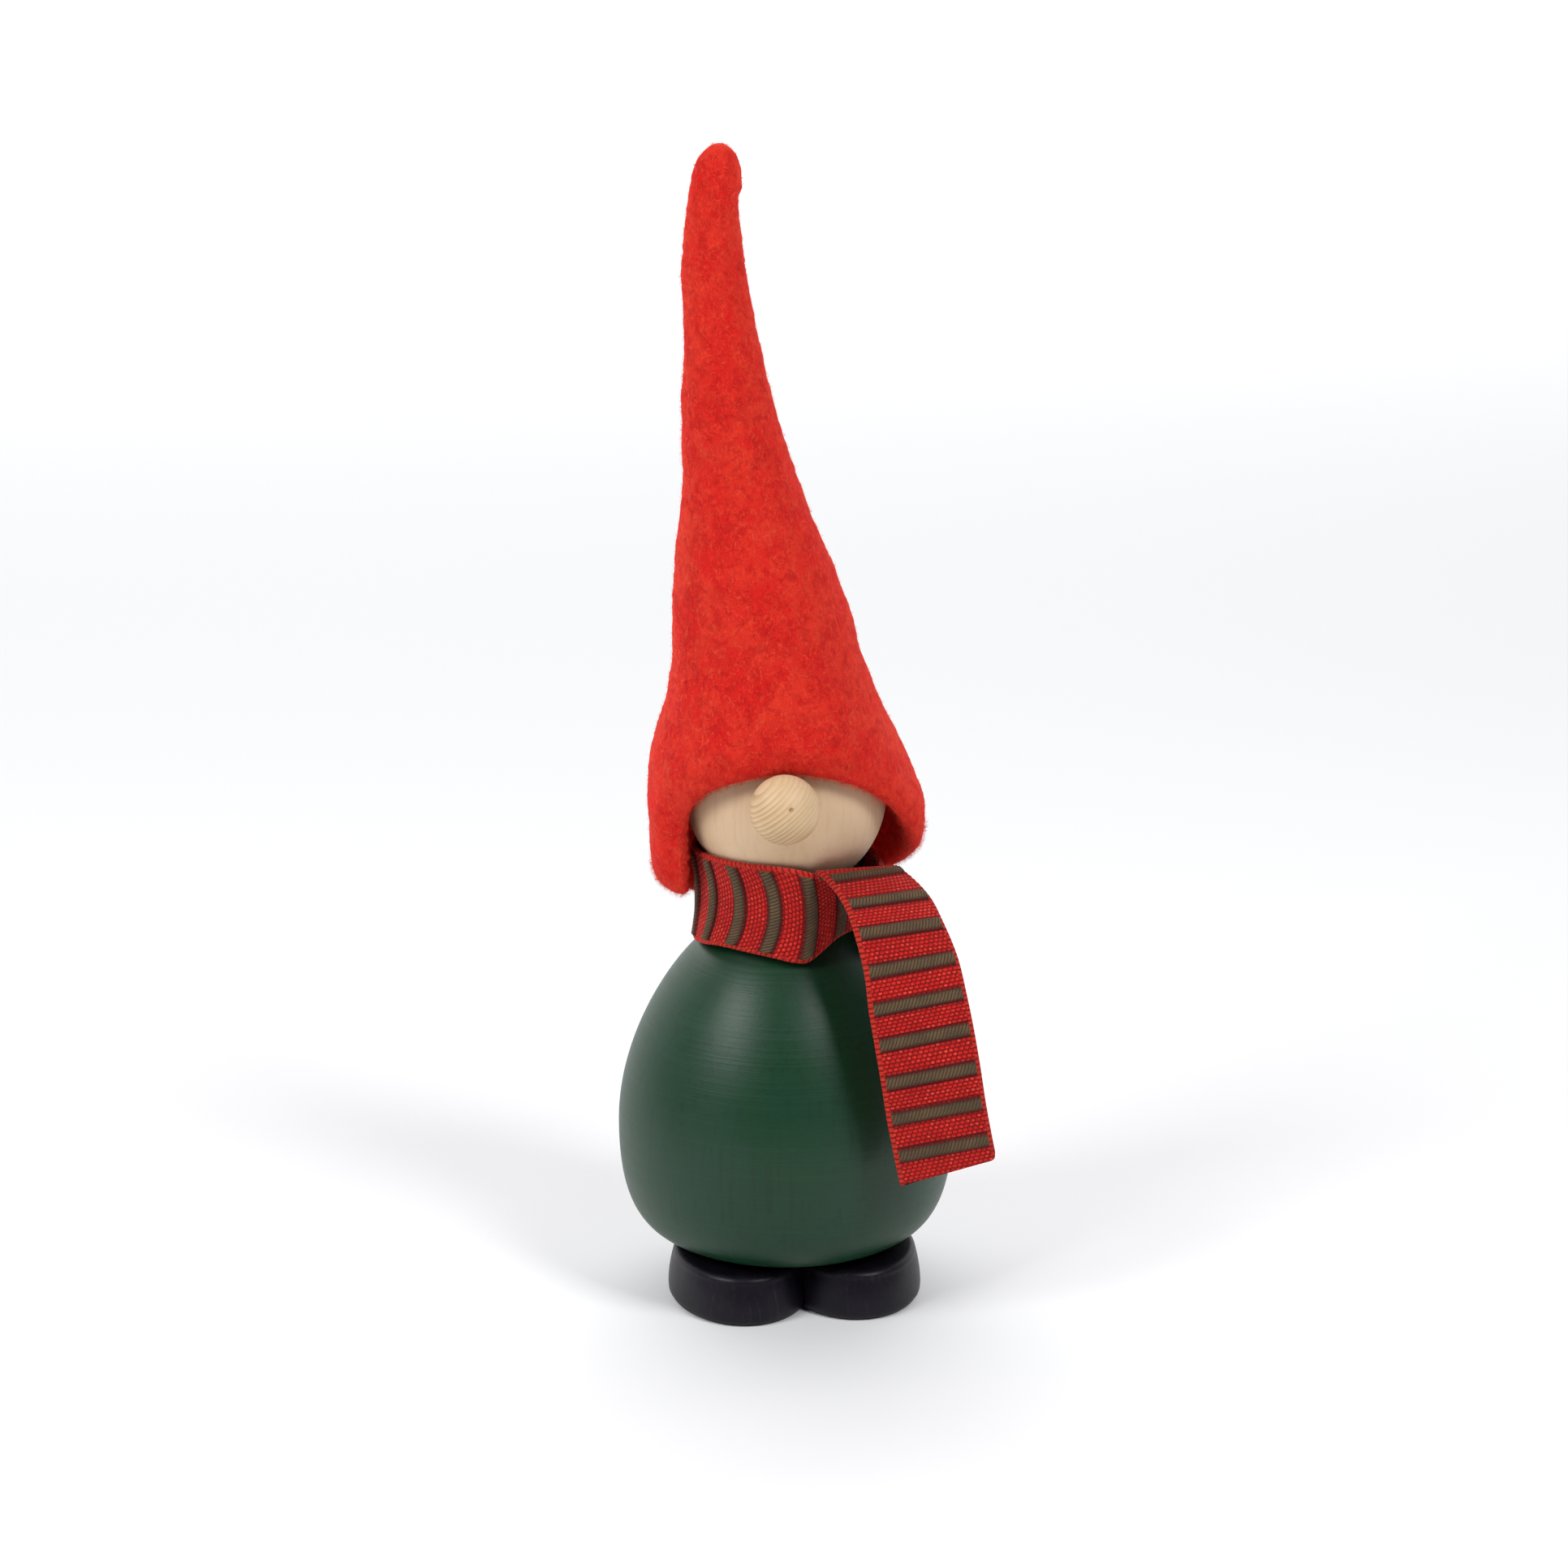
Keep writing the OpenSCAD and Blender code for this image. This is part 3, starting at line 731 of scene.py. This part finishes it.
def make_hat():
    """The felt: from the top of its hollow down the inside, round the cut edge and up the outside."""
    line = hem_line()
    angle = np.interp(np.linspace(0, line[2][-1], HAT_COLS, endpoint=False), line[2], line[0])
    hem = hem_at(angle)
    low = hem + HEM_ROWS[-1]
    inside = [low + (HOLLOW_Z - low) * t for t in np.linspace(1, 0, INSIDE_ROWS)[:-1]]
    inside += [hem + up for up in HEM_ROWS[::-1]]
    outside = [hem + up for up in HEM_ROWS]
    outside += [low + (DOME_Z - low) * t for t in np.linspace(0, 1, OUTSIDE_ROWS)[1:]]
    rings = []
    # side is -1 on the felt's inner face, 0 on the middle of its cut edge and 1 on its outer face
    for side, levels in ((-1, inside), (0, [hem]), (1, outside)):
        for z in levels:
            near = hem_distance(angle, z, line) if np.min(z - hem) < HEM_REACH else HEM_REACH + 0 * z
            round_in = 1 - np.minimum(near / FELT_EDGE, 1)
            thick = FELT_T - hem_thinning(angle, near)
            half = thick / 2 * np.sqrt(np.maximum(1 - round_in**2, 0))
            inset = FELT_T - thick / 2 - side * half + hem_curl(angle, near)
            p = hat_point(angle, z, inset)
            out = unit(p - hat_point(angle, z, spline(HAT, z)[..., 0]))
            push = hat_relief(p, angle, z) * (1 if side > 0 else 0.6)
            if side > 0:
                push = push + tip_fold(angle, z)
            rings.append(p + out * push[..., None])
    for b in np.linspace(8, 82, 14):  # the rounded tip
        a = math.radians(b)
        z = DOME_Z + (TIP_Z - DOME_Z) * math.sin(a) + 0 * hem
        p = hat_point(angle, z, spline(HAT, z)[..., 0] * (1 - math.cos(a)))
        out = unit(p - hat_point(angle, z, spline(HAT, z)[..., 0]))
        rings.append(p + out * (hat_relief(p, angle, z) + tip_fold(angle, z))[..., None])
    rings = np.array(rings)
    piece = tube_skin("felt_hat", rings, "head")
    piece.data.materials.append(felt_material())
    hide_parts("hat_felt")
    return piece, rings, angle, len(inside)


def make_fibres(rings, angle, hem_row):
    """Loose wool ends standing off the felt, thicker round the hem."""
    rng = np.random.default_rng(SEED)
    rows, cols = rings.shape[:2]
    first_hem, first_wall = hem_row - 4, hem_row + len(HEM_ROWS)
    points, faces = [], []
    for n in range(FIBRES):
        at_hem = n % 3 == 0
        band = (first_hem, first_wall + 6) if at_hem else (first_wall, rows - 2)
        i = int(rng.integers(*band))
        j = int(np.searchsorted(angle, rng.uniform(-180, 180))) % cols
        du = rings[i, (j + 1) % cols] - rings[i, j - 1]
        dv = rings[min(i + 1, rows - 1), j] - rings[i - 1, j]
        normal = np.cross(du, dv)
        size = np.linalg.norm(normal)
        if size < 1e-6:
            continue
        normal /= size
        root = rings[i, j] - normal * FIBRE_ROOT
        along = unit(unit(du) * rng.normal() + unit(dv) * rng.normal())
        length = rng.uniform(0.5, 2.0 if at_hem else 1.5)
        lift = rng.uniform(0.05, 0.7 if at_hem else 0.45)
        wide = np.cross(along, normal) * rng.uniform(0.014, 0.024)
        bend = np.cross(along, normal) * rng.normal() * 0.25
        start = len(points)
        for k in range(FIBRE_STEPS + 1):
            t = k / FIBRE_STEPS
            at = root + along * length * t + normal * lift * math.sin(2.4 * t) + bend * t * t * length
            thin = 1 - 0.75 * t
            points += [at - wide * thin, at + wide * thin]
        for k in range(FIBRE_STEPS):
            a = start + 2 * k
            faces.append((a, a + 1, a + 3, a + 2))
    piece = add_mesh("felt_fibres", points, faces, "head")
    piece.data.materials.append(fibre_material())
    return piece


def make_seam():
    """Zigzag stitches drawn over the back seam, from the hem up to below the tip."""
    pitch, radius, swing, depth, lift = 4.0, 0.26, 1.5, 0.12, 0.42
    first_z, last_z = float(hem_at(180)) + 3, 164
    turns = int((last_z - first_z) * 2 / pitch)
    corners = []
    for i in range(turns + 1):
        z = first_z + i * pitch / 2
        r = float(spline(HAT, z)[0])
        off = math.degrees(math.asin(min(swing, r * 0.3) / r))
        corners.append(hat_point(180 + (off if i % 2 == 0 else -off), z, depth))
    path = []
    for a, b in zip(corners, corners[1:]):
        for t in np.linspace(0, 1, 8, endpoint=False):
            path.append(a * (1 - t) + b * t + np.array([0, lift * math.sin(math.pi * t), 0]))
    path = np.array(path + [corners[-1]])
    ahead = unit(np.gradient(path, axis=0))
    right = unit(np.cross(ahead, [0, 1.0, 0]))
    up = np.cross(right, ahead)
    turn = full_turn(10)
    # two plies, which wind round each other as the thread goes on
    step = np.arange(len(path))[:, None]
    ply = radius * (1 + 0.16 * np.cos(2 * (turn[None, :] - step * 0.7)))
    round_it = right[:, None] * np.cos(turn)[None, :, None] + up[:, None] * np.sin(turn)[None, :, None]
    piece = tube_skin("seam_stitches", path[:, None] + ply[..., None] * round_it, "head")
    piece.data.materials.append(thread_material())
    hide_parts("hat_thread")
    return piece


# ---------------------------------------------------------------- ribbon

WRAP_R, WRAP_BOW = 13.9, 0.6
WRAP_FROM, WRAP_TO = 66.0, -302.0
# azimuth from the face, then lower edge, upper edge and step outward of the wound ribbon
WRAP = [
    (-312, 56.2, 66.6, 1.0),
    (-302, 55.8, 66.8, 0.95),
    (-290, 55.3, 67.0, 0.7),
    (-270, 55.1, 67.4, 0.2),
    (-240, 55.1, 68.8, 0.0),
    (-205, 55.1, 70.2, 0.0),
    (-98, 55.1, 70.4, 0.0),
    (-70, 56.2, 70.5, 0.0),
    (-53, 56.9, 70.6, 0.0),
    (-28, 56.6, 70.6, 0.1),
    (-14, 56.1, 70.5, 0.1),
    (-3, 55.5, 70.1, 0.1),
    (5, 55.4, 69.6, 0.05),
    (10, 56.0, 69.2, -0.05),
    (15.5, 56.9, 68.9, -0.15),
    (24.7, 58.3, 68.5, -0.35),
    (37, 59.0, 68.0, -0.4),
    (50, 58.6, 67.3, -0.4),
    (66, 57.6, 66.9, -0.4),
    (76, 57.0, 66.8, -0.4),
]
# a rib's azimuth, from which the others are counted
WRAP_RIB = 8.3
# place along the ribbon, middle of its width, yaw and tilt of its width, bow across it, half width
TAIL = [
    (-12.0, 7.9, -10.1, 63.5, 38, 0, 1.4, 5.8),
    (-9.5, 7.9, -10.1, 66.0, 38, 0, 1.4, 6.0),
    (-7.0, 7.95, -10.2, 66.9, 38, -6, 1.4, 6.2),
    (-5.2, 8.5, -10.95, 68.0, 36, -9, 1.4, 6.6),
    (-3.5, 9.3, -12.0, 69.0, 28, -7, 1.15, 7.2),
    (0, 10.5, -15.1, 68.9, 27, -3.4, 1.1, 7.0),
    (5.6, 12.7, -18.95, 66.15, 21, -2, 0.5, 7.2),
    (11.2, 13.97, -22.17, 62.7, 15, 0, 0.45, 7.2),
    (16.8, 15.3, -24.67, 57.8, 10, 3.9, 0.3, 7.3),
    (22.4, 15.95, -26.78, 52.77, 4, 7, 0.15, 7.45),
    (28.0, 16.72, -28.2, 47.76, 1, 8.3, 0.1, 7.5),
    (33.6, 17.59, -29.13, 42.06, 0, 8.3, 0.1, 7.5),
    (39.2, 18.39, -29.45, 36.64, 0, 8.3, 0.1, 7.5),
    (44.8, 19.52, -29.3, 30.75, 0, 8.3, 0.1, 7.5),
    (48.6, 20.33, -29.11, 26.89, 0, 8.3, 0.1, 7.5),
    (52.0, 21.0, -28.9, 23.4, 0, 8.3, 0.1, 7.5),
]
TAIL_FROM, TAIL_TO = -9.5, 49.6
END_SLANT, END_CORNER = 1.3, 1.1
# points across the ribbon, and the distance between its rows of points
COLS, STEP = 80, 0.1


def ribbon_skin(middle, u, out):
    """Points, faces and cloth map of a ribbon round its middle surface, whose front faces out."""
    rows = len(middle)
    v = np.linspace(-1, 1, COLS)
    normal = unit(np.cross(np.gradient(middle, axis=0), np.gradient(middle, axis=1)))
    normal *= math.copysign(1, np.sum(normal * out))
    phase = np.mod(u / STRIPE + 0.5, 1.0)
    rib = np.clip(1 - (np.abs(phase - 0.5) / (RIB / STRIPE / 2)) ** 2, 0, 1) ** 0.5
    # the ribs end short of the ribbon's edges, and a cord of small loops runs along each edge
    rise = RIB_RISE * rib * (1 - smooth(0.88, 0.94, np.abs(v)))
    loops = 1 + 0.4 * np.sin(u * 2 * math.pi / EDGE_LOOP)
    cord = 0.16 * np.exp(-(((np.abs(v) - 0.96) / 0.03) ** 2)) * loops
    half = RIBBON_T / 2 * (0.5 + 0.5 * smooth(1.0, 0.9, np.abs(v)))
    front = middle + normal * (half + rise + cord)[..., None]
    back = middle - normal * half[..., None]
    points = np.concatenate([front, back[:, ::-1]], axis=1).reshape(-1, 3)
    last = (rows - 1) * 2 * COLS
    ends = [tuple(range(2 * COLS))[::-1], tuple(last + k for k in range(2 * COLS))]
    u_all = np.concatenate([u, u[:, ::-1]], axis=1) + STRIPE / 2
    v_all = np.broadcast_to(np.concatenate([v, v[::-1]]) * RIBBON_W / 2, u_all.shape)
    return points, grid_faces(rows, 2 * COLS) + ends, np.stack([u_all, v_all], -1).reshape(-1, 2)


def wound_part():
    """The ribbon round the neck, from under the tail past the front, the back and up to the tail again."""
    angle = np.arange(WRAP_FROM, WRAP_TO, -math.degrees(STEP / WRAP_R))
    low, high, step = spline(WRAP, angle).T
    v = np.linspace(-1, 1, COLS)
    a = np.radians(angle)[:, None]
    out = np.stack([np.sin(a), -np.cos(a), 0 * a], -1)
    z = (low + high)[:, None] / 2 + (high - low)[:, None] / 2 * v
    radius = WRAP_R + step[:, None] - WRAP_BOW * (1 - v**2)
    ring = np.stack([radius * np.sin(a), -radius * np.cos(a), z], -1)
    ring = ring + out * (0.14 * lumps(ring, 13, SEED + 9))[..., None]
    # the ribs bend, as the ribbon is pulled tighter along the middle of its width
    bend = (1.1 + 0.7 * smooth(5, -15, angle) * smooth(-75, -50, angle))[:, None] * v**2
    u = np.radians(WRAP_RIB - angle)[:, None] * WRAP_R - bend
    return ribbon_skin(ring, u, out), abs(WRAP_TO - WRAP_FROM) * math.pi / 180 * WRAP_R


def hanging_part():
    """The tail: up from inside the wound part, over its edge and down, standing off the body."""
    u = np.arange(TAIL_FROM, TAIL_TO, STEP)[:, None]
    v = np.linspace(-1, 1, COLS)[None, :]
    # the end is cut at a slant, and its outer corner has worn round
    into_corner = np.clip((v - 1) / 0.13 + 1, 0, 1)
    corner = END_CORNER * (1 - np.sqrt(1 - into_corner**2))
    u = u - (END_SLANT * (v + 1) / 2 + corner) * smooth(TAIL_TO - 9, TAIL_TO, u)
    x, y, z, yaw, tilt, bow, half = np.moveaxis(spline(TAIL, u), -1, 0)
    yaw, tilt = np.radians(yaw), np.radians(tilt)
    side = np.stack([np.cos(yaw) * np.cos(tilt), np.sin(yaw) * np.cos(tilt), np.sin(tilt)], -1)
    out = np.stack([np.sin(yaw), -np.cos(yaw), 0.35 + 0 * yaw], -1)
    middle = np.stack([x, y, z], -1) + side * (v * half)[..., None] - out * (bow * v**2)[..., None]
    wave = 0.16 * lumps(middle, 20, SEED + 5) * smooth(2, 14, u)
    middle = middle + out * wave[..., None]
    return ribbon_skin(middle, u, out), TAIL_TO - TAIL_FROM


def make_ribbon():
    """Both parts of the ribbon as one piece of cloth."""
    (a_points, a_faces, a_uv), wound = wound_part()
    (b_points, b_faces, b_uv), hanging = hanging_part()
    faces = a_faces + [tuple(k + len(a_points) for k in f) for f in b_faces]
    points, uv = np.vstack([a_points, b_points]), np.vstack([a_uv, b_uv])
    piece = add_mesh("ribbon_scarf", points, faces, "figure", uv)
    piece.data.materials.append(ribbon_material())
    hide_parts("scarf")


# ---------------------------------------------------------------- stage

FLOOR_HALF = 6.0
WORLD_FRONT, WORLD_BACK = (0.06, 0.07, 0.11, 1), (1.15, 1.15, 1.15, 1)
MIDDLE = (0, 0, 0.07)
CAMERA_YAW, CAMERA_PITCH, CAMERA_DISTANCE = -8, 15.5, 0.6
CAMERA_TARGET = (-0.0003, 0, 0.0795)
CAMERA_LENS = 90.6


def make_stage():
    """A pale floor under a white studio."""
    mesh = bpy.data.meshes.new("floor")
    h = FLOOR_HALF
    mesh.from_pydata([(-h, -h, 0), (h, -h, 0), (h, h, 0), (-h, h, 0)], [], [(0, 1, 2, 3)])
    floor = bpy.data.objects.new("floor", mesh)
    bpy.context.scene.collection.objects.link(floor)
    s = Shade("pale_floor", 0.9, Specular_IOR_Level=0.1)
    s.base(srgb(228, 228, 228))
    mesh.materials.append(s.material)

    # the studio is white behind the figure and darker in front of it
    world = bpy.data.worlds.new("studio")
    world.use_nodes = True
    tree = world.node_tree
    coords = tree.nodes.new("ShaderNodeTexCoord")
    split = tree.nodes.new("ShaderNodeSeparateXYZ")
    tree.links.new(coords.outputs["Generated"], split.inputs["Vector"])
    fade = tree.nodes.new("ShaderNodeMapRange")
    fade.interpolation_type = "SMOOTHSTEP"
    tree.links.new(split.outputs["Y"], fade.inputs["Value"])
    fade.inputs["From Min"].default_value = -0.1
    fade.inputs["From Max"].default_value = 0.75
    mix = tree.nodes.new("ShaderNodeMix")
    mix.data_type = "RGBA"
    tree.links.new(fade.outputs["Result"], mix.inputs["Factor"])
    front, back = (i for i in mix.inputs if i.type == "RGBA")
    front.default_value, back.default_value = WORLD_FRONT, WORLD_BACK
    result = next(o for o in mix.outputs if o.type == "RGBA")
    tree.links.new(result, tree.nodes["Background"].inputs["Color"])
    bpy.context.scene.world = world
    bpy.context.scene.view_settings.view_transform = "Standard"


def make_light(name, size, power, spot, target=MIDDLE):
    """A square soft light at a spot in metres, aimed at a target."""
    data = bpy.data.lights.new(name, "AREA")
    data.shape = "SQUARE"
    data.size = size
    data.energy = power
    lamp = bpy.data.objects.new(name, data)
    lamp.location = spot
    lamp.rotation_euler = (Vector(spot) - Vector(target)).to_track_quat("Z", "Y").to_euler()
    bpy.context.scene.collection.objects.link(lamp)


def around(azimuth, elevation, distance):
    """A spot round the figure's middle; azimuth is from the front towards the figure's left."""
    return tuple(Vector(direction(azimuth, elevation)) * distance + Vector(MIDDLE))


def make_camera():
    """A long lens a little above the figure and to its right."""
    back = Vector(direction(CAMERA_YAW, CAMERA_PITCH))
    data = bpy.data.cameras.new("camera")
    data.lens = CAMERA_LENS
    data.sensor_width = 36
    data.clip_start = 0.01
    camera = bpy.data.objects.new("camera", data)
    camera.location = Vector(CAMERA_TARGET) + back * CAMERA_DISTANCE
    camera.rotation_euler = back.to_track_quat("Z", "Y").to_euler()
    bpy.context.scene.collection.objects.link(camera)
    bpy.context.scene.camera = camera


# ---------------------------------------------------------------- the whole

make_camera()
make_stage()
make_light("key", size=0.22, power=2.9, spot=around(40, 46, 0.7))
make_light("left", size=0.3, power=3.0, spot=around(-62, 38, 0.7))
make_light("backdrop", size=3.4, power=90, spot=(0, 2.7, 1.4), target=(0, 2.7, 0))

make_body()
make_feet()
make_head()
make_nose()
hat, hat_rings, hat_angle, hem_row = make_hat()
fibres = make_fibres(hat_rings, hat_angle, hem_row)
stitches = make_seam()
# the felt is cut as a cone's side, about half of its girth at the hem times its height, a little trimmed
make_ribbon()
wood = dowel_material()
for name in ("neck_dowel", "nose_dowel", "right_foot_dowel", "left_foot_dowel"):
    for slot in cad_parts[name].material_slots:
        slot.material = wood
